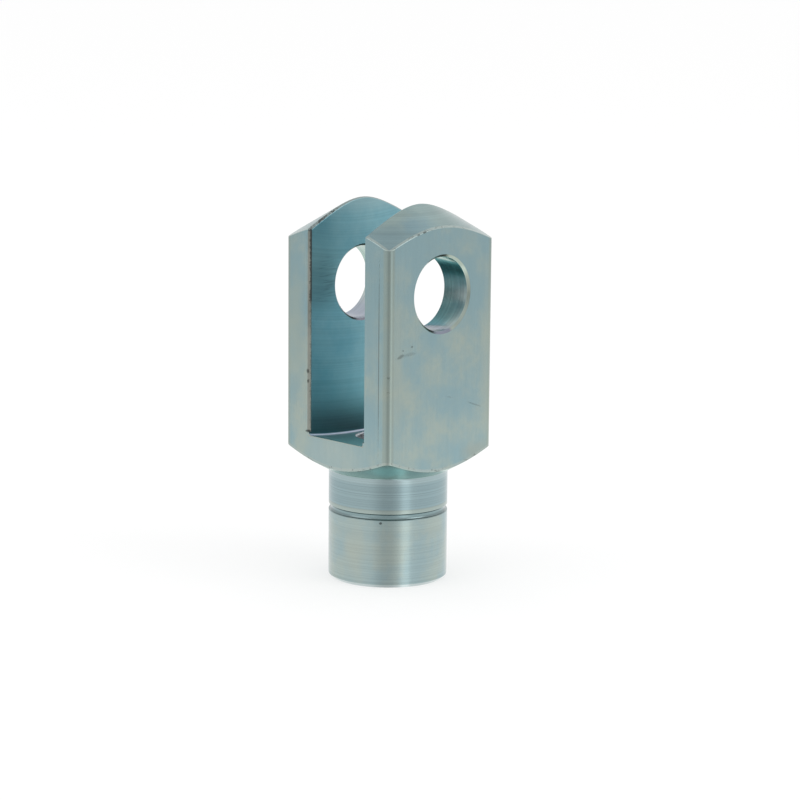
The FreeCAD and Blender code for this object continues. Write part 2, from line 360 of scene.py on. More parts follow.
# Both ends turned: neck with its clip groove, conical shoulder, and the cone that arches the ears' tops.
neck_radius, neck_length = sized["Neck radius"], sized["Neck length"]
groove_half = calc("DIVIDE", sized["Groove width"], 2.0)
GROOVE_STEPS = 9
GROOVE_FULLNESS = 0.7
groove_outline = []
for step in range(GROOVE_STEPS):
    turn = math.pi * step / (GROOVE_STEPS - 1)
    bite = calc("MULTIPLY", sized["Groove depth"], math.sin(turn) ** GROOVE_FULLNESS)
    rise = calc("MULTIPLY", groove_half, -math.cos(turn))
    groove_radius = calc("SUBTRACT", neck_radius, bite)
    groove_outline.append((groove_radius, calc("ADD", sized["Groove height"], rise)))
chamfered_radius = calc("SUBTRACT", neck_radius, sized["Neck end chamfer"])
shoulder_reach = calc("SUBTRACT", bar_reach, neck_radius)
shoulder_rise = calc("MULTIPLY", shoulder_reach, sized["Shoulder slope"])
cone_reach = calc("SUBTRACT", bar_reach, sized["Top flat radius"])
cone_drop = calc("MULTIPLY", cone_reach, sized["Top cone slope"])
turned_outline = [
    (chamfered_radius, 0.0),
    (neck_radius, sized["Neck end chamfer"]),
    *groove_outline,
    (neck_radius, neck_length),
    (bar_reach, calc("ADD", neck_length, shoulder_rise)),
    (bar_reach, calc("SUBTRACT", bar_length, cone_drop)),
    (sized["Top flat radius"], bar_length),
]
turned = marked(turned_solid(turned_outline, TURNING_STEPS), TURNED)

# Slot cut by a disc as wide as the slot, with a small radius at its rim.
half_slot = calc("DIVIDE", sized["Slot width"], 2.0)
lift_square = calc("SUBTRACT", square_of(sized["Cutter radius"]), square_of(half_bar))
cutter_height = calc("ADD", sized["Slot floor height"], calc("SQRT", lift_square))
rim_round = sized["Cutter corner radius"]
rim_inner = calc("SUBTRACT", sized["Cutter radius"], rim_round)
rim_low = calc("SUBTRACT", half_slot, rim_round)
cutter_rim = []
RIM_STEPS = 5
for step in range(RIM_STEPS):
    turn = math.pi / 2 * step / (RIM_STEPS - 1)
    radius = calc("ADD", rim_inner, calc("MULTIPLY", rim_round, math.sin(turn)))
    reach = calc("ADD", rim_low, calc("MULTIPLY", rim_round, math.cos(turn)))
    cutter_rim.append((radius, reach))
lower_rim = [(radius, opposite(reach)) for radius, reach in cutter_rim]
cutter = turned_solid(lower_rim + cutter_rim[::-1], CUTTER_STEPS)
slot_cut = marked(laid_along_y(cutter, cutter_height), SLOTTED)

# Chamfers filed along the slot's upright edges, down to a small step above the floor, and over the arches.
slot_chamfer, chamfer_end = sized["Slot chamfer"], sized["Slot chamfer end height"]
upright_side = calc("MULTIPLY", slot_chamfer, math.sqrt(2))
upright_size = point_at(upright_side, upright_side, calc("SUBTRACT", above, chamfer_end))
upright = made("GeometryNodeMeshCube", {"Size": upright_size})
upright_middle = calc("DIVIDE", calc("ADD", above, chamfer_end), 2.0)
stood = {"Geometry": upright, "Translation": point_at(z=upright_middle), "Rotation": (0, 0, math.pi / 4)}
upright = made("GeometryNodeTransform", stood)
mouth_corners = {"Size X": bar_side, "Size Y": sized["Slot width"], "Vertices X": 2, "Vertices Y": 2}
mouth_grid = made("GeometryNodeMeshGrid", mouth_corners)
spread = made("GeometryNodeInstanceOnPoints", {"Points": mouth_grid, "Instance": upright})
uprights_cut = marked(made("GeometryNodeRealizeInstances", {"Geometry": spread}), FILED)
ARCH_STEPS = 73
ARCH_LEAN = 1.77
past_bar = calc("ADD", half_bar, overrun)
arch_ends = {"Start": point_at(opposite(past_bar)), "End": point_at(past_bar)}
arch_line = made("GeometryNodeCurvePrimitiveLine", arch_ends)
arch_line = made("GeometryNodeResampleCurve", {"Curve": arch_line, "Count": ARCH_STEPS}, mode="COUNT")
arch_x = measures_here()[0]
arch_radius = calc("SQRT", calc("ADD", square_of(arch_x), square_of(half_slot)))
arch_reach = calc("SUBTRACT", arch_radius, sized["Top flat radius"])
arch_height = calc("SUBTRACT", bar_length, calc("MULTIPLY", arch_reach, sized["Top cone slope"]))
wide_half = calc("MULTIPLY", slot_chamfer, ARCH_LEAN)
arch_kite = four_cornered(
    (wide_half, 0.0),
    (0.0, slot_chamfer),
    (opposite(wide_half), 0.0),
    (0.0, opposite(slot_chamfer)),
)
arch_cuts = []
for way in (-1.0, 1.0):
    arch_place = point_at(arch_x, calc("MULTIPLY", half_slot, way), arch_height)
    arch = made("GeometryNodeSetPosition", {"Geometry": arch_line, "Position": arch_place})
    arch = made("GeometryNodeSetCurveNormal", {"Curve": arch, "Normal": (0, 1, 0)}, mode="FREE")
    arch_cuts.append(marked(swept(arch, arch_kite), FILED))

# Pin bore through both ears, chamfered on the outside and a little less on the slot's side.
bore_radius, inner_chamfer_size = sized["Pin bore radius"], sized["Pin bore inner chamfer"]
outer_start = calc("SUBTRACT", half_bar, sized["Pin bore chamfer"])
outer_flare = calc("ADD", bore_radius, calc("ADD", sized["Pin bore chamfer"], overrun))
inner_start = calc("ADD", half_slot, inner_chamfer_size)
inner_end = calc("SUBTRACT", half_slot, overrun)
inner_flare = calc("ADD", bore_radius, calc("ADD", inner_chamfer_size, overrun))
far_half = [
    (inner_flare, inner_end),
    (bore_radius, inner_start),
    (bore_radius, outer_start),
    (outer_flare, past_bar),
]
near_half = [(radius, opposite(reach)) for radius, reach in far_half[::-1]]
drill = turned_solid(near_half + far_half, BORE_STEPS)
bore_cut = marked(laid_along_y(drill, sized["Pin bore height"]), BORED)

# Core hole for the rod's thread with a countersunk mouth, and the thread groove that a tap cuts in it.
core_radius, mouth_radius = sized["Thread core radius"], sized["Thread mouth radius"]
core_outline = [
    (calc("ADD", mouth_radius, overrun), below),
    (core_radius, calc("SUBTRACT", mouth_radius, core_radius)),
    (core_radius, calc("ADD", sized["Slot floor height"], overrun)),
]
core_cut = marked(turned_solid(core_outline, BORE_STEPS), THREADED)
THREAD_TURNS = 17
TAP_INSIDE = 0.3 * MM
FLANK = math.tan(math.radians(30))
TIP_HALVES_PER_PITCH = 16.0
tap_path_sizes = {
    "Resolution": THREAD_STEPS,
    "Rotations": float(THREAD_TURNS),
    "Start Radius": core_radius,
    "End Radius": core_radius,
    "Height": calc("MULTIPLY", sized["Thread pitch"], float(THREAD_TURNS)),
}
tap_path = made("GeometryNodeCurveSpiral", tap_path_sizes)
tap_path = made("GeometryNodeSetCurveNormal", {"Curve": tap_path}, mode="Z_UP")
tooth_height = calc("SUBTRACT", sized["Thread crest radius"], core_radius)
tip_half = calc("DIVIDE", sized["Thread pitch"], TIP_HALVES_PER_PITCH)
root_half = calc("ADD", tip_half, calc("MULTIPLY", calc("ADD", tooth_height, TAP_INSIDE), FLANK))
tooth = four_cornered(
    (-TAP_INSIDE, opposite(root_half)),
    (tooth_height, opposite(tip_half)),
    (tooth_height, tip_half),
    (-TAP_INSIDE, root_half),
)
tap = swept(tap_path, tooth)
tap_placed = made("GeometryNodeTransform", {"Geometry": tap, "Translation": point_at(z=below)})
tap_cut = marked(tap_placed, THREADED)

# The cuts, then a fine break on every sharp edge outside the thread, with a wider radius at the neck's root.
blank = add_node(machining, "GeometryNodeMeshBoolean", operation="INTERSECT", solver="EXACT")
for solid in (bar, turned):
    machining.links.new(solid, blank.inputs["Mesh 2"])
cutting = {"Mesh 1": blank.outputs[0]}
finished = add_node(machining, "GeometryNodeMeshBoolean", cutting, operation="DIFFERENCE", solver="EXACT")
for solid in (slot_cut, uprights_cut, *arch_cuts, bore_cut, core_cut, tap_cut):
    machining.links.new(solid, finished.inputs["Mesh 2"])
cleaned = {"Geometry": finished.outputs[0], "Distance": sized["Finest chord"]}
joined = made("GeometryNodeMergeByDistance", cleaned)
edge_turn = made("GeometryNodeInputMeshEdgeAngle")
is_sharp = made("FunctionNodeCompare", {0: edge_turn, 1: CORNER_TURN}, operation="GREATER_THAN")
edge_x, edge_y, edge_height = measures_here()
off_axis = calc("SQRT", calc("ADD", square_of(edge_x), square_of(edge_y)))
in_thread = calc("LESS_THAN", off_axis, calc("ADD", mouth_radius, THREAD_MARGIN))
in_neck = calc("LESS_THAN", edge_height, sized["Slot floor height"])
outside_thread = calc("SUBTRACT", 1.0, calc("MULTIPLY", in_thread, in_neck))
root_gap = calc("ABSOLUTE", calc("SUBTRACT", edge_height, neck_length))
at_root = calc("LESS_THAN", root_gap, ROOT_NEARNESS)
break_share = calc("ADD", EDGE_BREAK, calc("MULTIPLY", at_root, 1.0 - EDGE_BREAK))
break_weight = calc("MULTIPLY", calc("MULTIPLY", break_share, outside_thread), is_sharp)
weighted = {"Geometry": joined, "Name": "fine_edge", "Value": break_weight}
weighted_mesh = made("GeometryNodeStoreNamedAttribute", weighted, data_type="FLOAT", domain="EDGE")
realized = made("GeometryNodeRealizeInstances", {"Geometry": weighted_mesh})
plated = made("GeometryNodeSetMaterial", {"Geometry": realized, "Material": sized["Plating"]})
add_node(machining, "NodeGroupOutput", {0: plated})

# Zinc plating: silvery, with the blue and beige cast of a thin passivation that varies in thickness.
# Drawn faces keep faint lengthwise streaks, turned ones fine rings, the slot the arcs of the cutter.
# Lengths in this material are millimetres.
zinc = bpy.data.materials.new("zinc_plating")
zinc.use_nodes = True
coat = zinc.node_tree
coat.nodes.clear()
PER_MM = 1000.0
TOOL_NEARNESS = 0.4
place = add_node(coat, "ShaderNodeTexCoord").outputs["Object"]
in_mm = add_node(coat, "ShaderNodeMapping", {"Vector": place, "Scale": (PER_MM, PER_MM, PER_MM)}).outputs[0]
tool_note = add_node(coat, "ShaderNodeAttribute", attribute_type="GEOMETRY", attribute_name="tool")
tool = tool_note.outputs["Fac"]


def sheen(operation, *values):
    """One step of arithmetic on the plating's measures."""
    return worked(coat, operation, *values)


def fade(value, low, high, at_low=0.0, at_high=1.0):
    """Measure of the plating carried smoothly from one level to another between two limits."""
    return eased(coat, value, low, high, at_low, at_high)


def tinted(colour, mask, share, tint):
    """Colour that a tint covers by a share where the mask is one."""
    return mixed(coat, sheen("MULTIPLY", mask, share), colour, tint)


def left_by(number):
    """One on the faces that this tool left, nought elsewhere."""
    return sheen("COMPARE", tool, float(number), TOOL_NEARNESS)


def mottle(size, stretch=(1, 1, 1), detail=3.0, roughness=0.55):
    """Soft noise whose patches are about this many millimetres across."""
    stretched = {"Vector": in_mm, "Scale": tuple(side / size for side in stretch)}
    scaled = add_node(coat, "ShaderNodeMapping", stretched).outputs[0]
    noise = {"Vector": scaled, "Scale": 1.0, "Detail": detail, "Roughness": roughness}
    return add_node(coat, "ShaderNodeTexNoise", noise).outputs[0]


def rings(distance, size, detail=2.0, roughness=0.6):
    """Fine tool marks: noise along one measure only."""
    noise = {"W": sheen("DIVIDE", distance, size), "Scale": 1.0, "Detail": detail, "Roughness": roughness}
    return add_node(coat, "ShaderNodeTexNoise", noise, noise_dimensions="1D").outputs[0]


def length_of(first, second):
    """Length of the long side of a right triangle."""
    return sheen("SQRT", sheen("ADD", sheen("MULTIPLY", first, first), sheen("MULTIPLY", second, second)))


def one_of(kinds, plain, *choices):
    """Plain value, replaced by a choice where its kind of face is."""
    for kind, choice in zip(kinds, choices):
        plain = blended(coat, kind, plain, choice)
    return plain


def in_sizes(size_name):
    """A size of the fork head in millimetres."""
    return SIZES[size_name] * PER_MM


NECK_TOP = 24.05
CONE_START = 60.0
FLOOR_FADE = (119.8, 119.95)
along_slot, along_bore, height = add_node(coat, "ShaderNodeSeparateXYZ", {0: in_mm}).outputs
across_x = sheen("ABSOLUTE", along_slot)
across_y = sheen("ABSOLUTE", along_bore)
axis_distance = length_of(along_slot, along_bore)
cutter_lift = math.sqrt(in_sizes("Cutter radius") ** 2 - (in_sizes("Bar side") / 2) ** 2)
cutter_axis = in_sizes("Slot floor height") + cutter_lift
cutter_distance = length_of(along_slot, sheen("SUBTRACT", height, cutter_axis))
bore_distance = length_of(along_slot, sheen("SUBTRACT", height, in_sizes("Pin bore height")))
machined = (TURNED, SLOTTED, BORED, FILED, THREADED)
is_turned, is_slot, is_bore, is_filed, is_thread = [left_by(kind) for kind in machined]
is_neck = sheen("MULTIPLY", is_turned, sheen("LESS_THAN", height, NECK_TOP))
is_cone = sheen("MULTIPLY", is_turned, sheen("GREATER_THAN", height, CONE_START))
is_shoulder = sheen("SUBTRACT", sheen("SUBTRACT", is_turned, is_neck), is_cone)
is_floor = sheen("MULTIPLY", is_slot, fade(cutter_distance, *FLOOR_FADE))

# Tool marks, fine and wide, and the noise of the drawn flats, the grain and the cast.
FINE_RINGS = (0.42, 0.5, 0.3)
WIDE_RINGS = (1.7, 2.4, 1.4)
PATCH_SHARE = 0.82
SMALL_PATCH_SHARE = 0.18
ring_measures = (sheen("ADD", axis_distance, height), cutter_distance, along_bore)
tool_marks, wide_marks = [
    one_of((is_slot, is_bore), *(rings(measure, size) for measure, size in zip(ring_measures, sizes)))
    for sizes in (FINE_RINGS, WIDE_RINGS)
]
has_marks = sheen("ADD", is_turned, sheen("ADD", is_slot, is_bore))
streaks = mottle(size=0.45, stretch=(1, 1, 0.04), detail=2.0)
wide_streaks = mottle(size=3.0, stretch=(1, 1, 0.25), detail=2.0)
grain = mottle(size=0.22, detail=2.0)
patches = mottle(size=7.0, stretch=(1, 1, 0.85), detail=4.0, roughness=0.5)
small_patches = mottle(size=1.6)
patches_share = sheen("MULTIPLY", patches, PATCH_SHARE)
cast = sheen("ADD", patches_share, sheen("MULTIPLY", small_patches, SMALL_PATCH_SHARE))

# Cast of the drawn flats: bluer and a little darker towards the open end, paler at the foot.
BLUE_CAST = (0.272, 0.398, 0.424, 1)
BEIGE_CAST = (0.388, 0.449, 0.396, 1)
CAST_FADE = (0.29, 0.73)
TOP_FADE = (46.0, 72.0, 1.0, 0.99)
FOOT_FADE = (30.0, 42.0, 1.04, 1.0)
FOOT_COOL_FADE = (34.0, 48.0, -0.06, 0.0)
TOP_COOLING = 14.0
top_tone = fade(height, *TOP_FADE)
foot_tone = fade(height, *FOOT_FADE)
foot_cool = fade(height, *FOOT_COOL_FADE)
top_cool = sheen("MULTIPLY_ADD", sheen("SUBTRACT", top_tone, 1.0), TOP_COOLING, cast)
cool_cast = sheen("ADD", top_cool, foot_cool)
coat_colour = mixed(coat, fade(cool_cast, *CAST_FADE), BLUE_CAST, BEIGE_CAST)

# Casts of the machined parts, each between two colours; those of the shoulder and the thread are partly
# painted light.
MACHINED_CAST_FADE = (0.36, 0.66)
FLOOR_CAST = (0.33, 0.56, 0.56, 1)
MACHINED_CASTS_AND_PAINTED_LIGHT = (
    (is_cone, (0.262, 0.375, 0.392, 1), (0.315, 0.412, 0.400, 1)),
    (is_neck, (0.325, 0.435, 0.450, 1), (0.385, 0.460, 0.430, 1)),
    # The shoulder's bright teal is partly the plating's cast and partly a painted reflection.
    (is_shoulder, (0.38, 0.57, 0.53, 1), (0.42, 0.60, 0.53, 1)),
    (is_slot, (0.235, 0.47, 0.54, 1), (0.30, 0.53, 0.585, 1)),
    (is_bore, (0.43, 0.50, 0.49, 1), (0.48, 0.53, 0.49, 1)),
    (is_filed, (0.25, 0.27, 0.24, 1), (0.35, 0.37, 0.33, 1)),
    # The thread's near-white colour is painted light: it stands in for the light that its flanks catch
    # inside the hole.
    (is_thread, (0.85, 0.84, 0.90, 1), (0.95, 0.95, 0.95, 1)),
)
between = fade(cast, *MACHINED_CAST_FADE)
for faces, cool, warm in MACHINED_CASTS_AND_PAINTED_LIGHT:
    coat_colour = mixed(coat, faces, coat_colour, mixed(coat, between, cool, warm))
coat_colour = mixed(coat, is_floor, coat_colour, FLOOR_CAST)


def away_from(middle, reach, lean=(0, 0, 0)):
    """Distance from a place, as a share of the reach along each side."""
    placed = {"Vector": in_mm, "Location": middle, "Rotation": lean, "Scale": reach}
    local = add_node(coat, "ShaderNodeMapping", placed, vector_type="TEXTURE").outputs[0]
    return add_node(coat, "ShaderNodeVectorMath", {0: local}, operation="LENGTH").outputs[1]


def soft_spot(middle, reach, uneven=0.6, start=0.5, end=1.4):
    """One at a place, fading unevenly to nought at its reach."""
    away = sheen("MULTIPLY_ADD", small_patches, uneven, away_from(middle, reach))
    return fade(away, start, end, 1.0, 0.0)


def band(value, middle, half_width, softness):
    """One within a band of a measure, fading outside it."""
    off = sheen("ABSOLUTE", sheen("SUBTRACT", value, middle))
    return fade(off, half_width, half_width + softness, 1.0, 0.0)


def within(*masks):
    """One where every mask is one."""
    product = masks[0]
    for mask in masks[1:]:
        product = sheen("MULTIPLY", product, mask)
    return product


# Where the tints start and end along their measures, with the levels there if they aren't nought and one,
# and the bands: middle, half width and softness.
FADES = {
    "bar corner": (13.9, 14.7),
    "upper neck": (16.2, 16.5),
    "slot root, across": (7.8, 7.95),
    "slot root, from the cutter's axis": (119.5, 119.65),
    "bore foot": (58.2, 56.8),
    "bore low": (61.5, 59.5),
    "bore lip": (-11.0, -14.5),
    "bore roof": (66.0, 69.0),
    "low wall": (50.0, 35.0),
    "high wall, lower end": (56.0, 63.0),
    "high wall, upper end": (67.0, 74.0, 1.0, 0.4),
    "high wall, along the slot": (-5.0, -13.0),
    "wall crest": (78.0, 82.0),
    "floor brow": (15.75, 15.85),
    "far bore's foot": (61.0, 57.0),
    "bore chamfer's foot": (58.5, 57.0),
    "inner chamfer's top": (60.0, 66.0),
    "inner chamfer's foot": (62.0, 58.0),
    "cone, along the slot": (-3.0, 3.0),
    "cone, along the bore": (0.0, -8.0),
}
BANDS = {
    "groove bed": (15.7, 0.3, 0.15),
    "groove lip": (16.7, 0.3, 0.35),
    "groove foot": (15.02, 0.1, 0.18),
    "groove flank": (15.2, 0.14, 0.1),
    "neck root": (23.5, 0.2, 1.1),
    "bore lip": (62.5, 2.5, 2.5),
    "bore foot": (-1.0, 2.5, 3.0),
    "floor brow": (32.0, 0.14, 0.2),
    "bore chamfer's side": (60.0, 2.5, 2.0),
    "bore chamfer's foot": (0.0, 2.2, 1.2),
}
END_CHAMFER_TOP = 0.68
BORE_CHAMFER_START = 8.03
INNER_HALF = 12.0
ARCH_START = 76.4
BROW_HALF = 8.6
is_worked = sheen("ADD", has_marks, sheen("ADD", is_filed, is_thread))
is_drawn = sheen("SUBTRACT", 1.0, is_worked)
corner = within(is_drawn, fade(sheen("MINIMUM", across_x, across_y), *FADES["bar corner"]))
upper_neck = within(is_neck, fade(height, *FADES["upper neck"]))
groove_bed_shade = within(is_neck, band(height, *BANDS["groove bed"]))
groove_lip_highlight = within(is_neck, band(height, *BANDS["groove lip"]))
groove_foot_shade = within(is_neck, band(height, *BANDS["groove foot"]))
groove_flank_shade = within(is_neck, band(height, *BANDS["groove flank"]))
neck_root = within(is_neck, band(height, *BANDS["neck root"]))
end_chamfer_highlight = within(is_neck, sheen("LESS_THAN", height, END_CHAMFER_TOP))
root_depth = fade(cutter_distance, *FADES["slot root, from the cutter's axis"])
slot_root_highlight = within(is_slot, fade(across_y, *FADES["slot root, across"]), root_depth)
far_bore = within(is_bore, sheen("GREATER_THAN", along_bore, 0.0))
near_bore = sheen("SUBTRACT", is_bore, far_bore)
bore_low = within(near_bore, fade(height, *FADES["bore low"]))
bore_lip = within(near_bore, fade(along_bore, *FADES["bore lip"]), band(height, *BANDS["bore lip"]))
bore_foot = within(is_bore, fade(height, *FADES["bore foot"]), band(along_slot, *BANDS["bore foot"]))
bore_roof = within(is_bore, fade(height, *FADES["bore roof"]))
far_bore_foot = within(far_bore, fade(height, *FADES["far bore's foot"]))
bore_chamfer = within(is_bore, sheen("GREATER_THAN", bore_distance, BORE_CHAMFER_START))
chamfer_side = within(bore_chamfer, band(height, *BANDS["bore chamfer's side"]))
chamfer_middle = band(along_slot, *BANDS["bore chamfer's foot"])
chamfer_foot = within(bore_chamfer, fade(height, *FADES["bore chamfer's foot"]), chamfer_middle)
inner_chamfer = within(bore_chamfer, sheen("LESS_THAN", across_y, INNER_HALF))
inner_top = within(inner_chamfer, fade(height, *FADES["inner chamfer's top"]))
inner_foot = within(inner_chamfer, fade(height, *FADES["inner chamfer's foot"]))
is_wall = sheen("SUBTRACT", is_slot, is_floor)
low_wall_shade = within(is_wall, fade(height, *FADES["low wall"]))
dark_from = fade(height, *FADES["high wall, lower end"])
dark_height = within(dark_from, fade(height, *FADES["high wall, upper end"]))
high_wall_shade = within(is_wall, dark_height, fade(along_slot, *FADES["high wall, along the slot"]))
wall_crest_light = within(is_wall, fade(height, *FADES["wall crest"]))
arch_chamfer = within(is_filed, sheen("GREATER_THAN", height, ARCH_START))
in_mouth = sheen("LESS_THAN", across_y, BROW_HALF)
brow_edge = fade(across_x, *FADES["floor brow"])
floor_brow_highlight = within(brow_edge, band(height, *BANDS["floor brow"]), in_mouth)
cone_right = fade(along_slot, *FADES["cone, along the slot"])
cone_corner_shade = within(is_cone, cone_right, fade(along_bore, *FADES["cone, along the bore"]))

# Tints that lie on one part only, most of them painted light and shade as marked: mask, how fully it covers,
# and colour.
TINTS_AND_PAINTED_LIGHT = (
    # Painted dark reflection along the rounded bar corners.
    (corner, 0.6, (0.31, 0.36, 0.31, 1)),
    # Painted shade on the slot's walls: the colour of the shade low down and a dark patch high up near the
    # open side; painted light along their crest.
    (low_wall_shade, 0.85, (0.265, 0.555, 0.62, 1)),
    (high_wall_shade, 0.85, (0.12, 0.26, 0.30, 1)),
    (wall_crest_light, 0.6, (0.36, 0.52, 0.55, 1)),
    (arch_chamfer, 0.9, (0.30, 0.37, 0.37, 1)),
    (upper_neck, 0.85, (0.27, 0.375, 0.40, 1)),
    (neck_root, 0.6, (0.40, 0.50, 0.51, 1)),
    # Painted light and shade in the neck's groove: painted shade in its bed, on its lower flank and at its
    # foot, and a painted highlight on the lip above it.
    (groove_bed_shade, 0.85, (0.24, 0.34, 0.355, 1)),
    (groove_flank_shade, 0.9, (0.19, 0.26, 0.27, 1)),
    (groove_lip_highlight, 0.8, (0.40, 0.475, 0.44, 1)),
    (groove_foot_shade, 0.65, (0.16, 0.21, 0.215, 1)),
    # Painted highlight on the neck's end chamfer.
    (end_chamfer_highlight, 0.9, (0.52, 0.60, 0.60, 1)),
    # Painted highlight on the slot's rounded root.
    (slot_root_highlight, 0.9, (0.62, 0.63, 0.74, 1)),
    # Painted reflections and shade inside the pin bore and on its chamfers: light and dark bands on the
    # roof, walls and foot.
    (bore_roof, 0.8, (0.36, 0.60, 0.52, 1)),
    (bore_low, 0.85, (0.29, 0.36, 0.345, 1)),
    (bore_lip, 0.7, (0.25, 0.32, 0.32, 1)),
    (bore_foot, 0.8, (0.20, 0.24, 0.305, 1)),
    (far_bore_foot, 0.8, (0.31, 0.345, 0.42, 1)),
    (within(far_bore, bore_roof), 0.7, (0.44, 0.55, 0.51, 1)),
    (bore_chamfer, 0.9, (0.46, 0.53, 0.46, 1)),
    (chamfer_side, 0.7, (0.27, 0.33, 0.30, 1)),
    (chamfer_foot, 0.9, (0.24, 0.26, 0.34, 1)),
    (inner_top, 0.9, (0.08, 0.20, 0.19, 1)),
    (inner_foot, 0.9, (0.22, 0.22, 0.26, 1)),
    # Painted highlight along the slot floor's outer edge.
    (floor_brow_highlight, 0.6, (0.37, 0.38, 0.32, 1)),
    # Painted shade that dims the bright reflection on the right of the cone's near side.
    (cone_corner_shade, 0.8, (0.25, 0.34, 0.335, 1)),
)
for mask, share, tint in TINTS_AND_PAINTED_LIGHT:
    coat_colour = tinted(coat_colour, mask, share, tint)

# Soft patches of cast, and of painted shade and reflection where marked: the faces that they lie on, middle,
# reach, how fully they cover, and colour.
SOFT_PATCHES_AND_PAINTED_LIGHT = (
    # Painted shade: darker patches on the near side of the top cone.
    (is_cone, (-13.0, -13.0, 76.0), (6, 6, 8), 0.9, (0.235, 0.34, 0.365, 1)),
    (is_cone, (-6.0, -13.0, 78.0), (4, 4, 4), 0.7, (0.24, 0.37, 0.42, 1)),
    # Painted reflection: a bright teal patch on the shoulder under the front corner.
    (is_shoulder, (-12.5, -12.5, 27.0), (5, 5, 5), 0.95, (0.52, 0.92, 0.86, 1)),
    (is_drawn, (-13.4, -16.0, 50.0), (2.2, 2, 24), 0.6, (0.36, 0.425, 0.385, 1)),
    (is_drawn, (14.2, -16.0, 48.0), (2.6, 2, 22), 0.6, (0.37, 0.435, 0.395, 1)),
    (is_drawn, (11.0, -16.0, 28.5), (6, 2, 3), 0.6, (0.35, 0.39, 0.345, 1)),
    (is_drawn, (-16.0, -11.5, 60.0), (2, 4, 24), 0.2, (0.275, 0.40, 0.415, 1)),
    (is_drawn, (-16.0, 0.0, 28.5), (2, 13, 6), 0.6, (0.385, 0.46, 0.435, 1)),
    (is_drawn, (-16.0, 12.5, 56.0), (2, 3, 16), 0.6, (0.36, 0.43, 0.385, 1)),
    (is_neck, (-12.5, -2.5, 7.5), (3, 3.5, 8), 0.5, (0.42, 0.46, 0.40, 1)),
)
for faces, middle, reach, share, tint in SOFT_PATCHES_AND_PAINTED_LIGHT:
    coat_colour = tinted(coat_colour, within(faces, soft_spot(middle, reach)), share, tint)

# A painted highlight, a bright beige line, where the turned cones run out on the flats, with dark nicks
# along it.
RUN_OUT_START = 15.45
TOP_RUN_OUT = (0.0, 0.05, 0.12)
FOOT_RUN_OUT = (0.15, 0.3, 0.25)
cone_reach = sheen("SUBTRACT", axis_distance, in_sizes("Top flat radius"))
cone_height = sheen("MULTIPLY_ADD", cone_reach, -SIZES["Top cone slope"], in_sizes("Bar length"))
shoulder_reach = sheen("SUBTRACT", axis_distance, in_sizes("Neck radius"))
shoulder_height = sheen("MULTIPLY_ADD", shoulder_reach, SIZES["Shoulder slope"], in_sizes("Neck length"))
outermost = sheen("GREATER_THAN", sheen("MAXIMUM", across_x, across_y), RUN_OUT_START)
over_cone = sheen("SUBTRACT", height, cone_height)
over_shoulder = sheen("SUBTRACT", height, shoulder_height)
top_run_out = within(outermost, sheen("SUBTRACT", 1.0, is_slot), band(over_cone, *TOP_RUN_OUT))
foot_run_out = within(outermost, band(over_shoulder, *FOOT_RUN_OUT))
RUN_OUT_HIGHLIGHTS = (
    (top_run_out, 0.65, (0.43, 0.495, 0.47, 1)),
    (foot_run_out, 0.5, (0.435, 0.485, 0.45, 1)),
)
for mask, share, tint in RUN_OUT_HIGHLIGHTS:
    coat_colour = tinted(coat_colour, mask, share, tint)

# Wear: scratches, nicks and the filed edge's burr, darker and a little sunk.
RAGGED = 0.9
jag = mottle(size=0.35, roughness=0.7)


def bitten(size, low, high, stretch=(1, 1, 1)):
    """One in ragged bites about this many millimetres across."""
    return fade(mottle(size, stretch, roughness=0.7), low, high)


def worn_spot(middle, reach, lean, start=0.9, end=1.4):
    """One on a small ragged mark at this place, nought outside it."""
    away = sheen("MULTIPLY_ADD", jag, RAGGED, away_from(middle, reach, lean))
    return fade(away, start, end, 1.0, 0.0)


# Small marks: middle, reach, lean and depth.
WORN_SPOTS = (
    ((-12.3, -16.0, 51.95), (1.4, 1, 0.55), (0, -0.3, 0), 0.42),
    ((-9.8, -16.0, 52.15), (2.6, 1, 0.5), (0, -0.05, 0), 0.2),
    ((-9.05, -16.0, 53.7), (0.35, 1, 0.3), (0, 0, 0), 0.55),
    ((-11.7, -16.0, 53.15), (0.3, 1, 0.25), (0, 0, 0), 0.5),
    ((10.1, -16.0, 39.0), (3.0, 1, 0.25), (0, 0.35, 0), 0.24),
    ((2.5, -16.0, 41.5), (1.2, 1, 0.15), (0, 0.2, 0), 0.2),
    ((-15.75, -15.8, 47.7), (0.7, 0.7, 0.45), (0, 0, 0), 0.5),
    ((-15.7, -15.7, 44.6), (0.6, 0.6, 0.2), (0, 0, 0), 0.3),
    ((-16.0, -13.08, 52.0), (1, 0.2, 27), (0, 0, 0), 0.5),
    ((-16.0, 8.8, 46.1), (1, 0.4, 0.7), (0, 0, 0), 0.7),
    ((-16.0, 8.7, 43.9), (1, 0.35, 0.5), (0, 0, 0), 0.65),
    ((-16.0, 8.2, 59.0), (1, 0.5, 0.35), (0, 0, 0), 0.6),
    ((-16.0, 8.7, 32.9), (1.2, 0.9, 0.4), (0, 0, 0), 0.75),
    ((-16.0, -8.0, 32.3), (1.2, 0.5, 0.3), (0, 0, 0), 0.5),
    ((-10.2, -8.1, 14.3), (0.45, 0.45, 0.4), (0, 0, 0), 0.8),
    ((-5.5, -16.0, 77.68), (0.8, 1, 0.24), (0, -0.2, 0), 0.7),
    ((-7.3, -16.0, 77.28), (0.6, 1, 0.2), (0, -0.25, 0), 0.6),
)
EDGE_BITES = (0.56, 0.62)
ARCH_BITES = (0.47, 0.53)
ARCH_BITE_PLACE = (-7.0, -8.5)
BURR_START = 15.3
BURR_BAND = (8.75, 0.12, 0.12)
BURR_HEIGHT = (60.0, 62.0)
LOW_BURR_BAND = (8.72, 0.06, 0.1)
LOW_BURR_START = 32.5
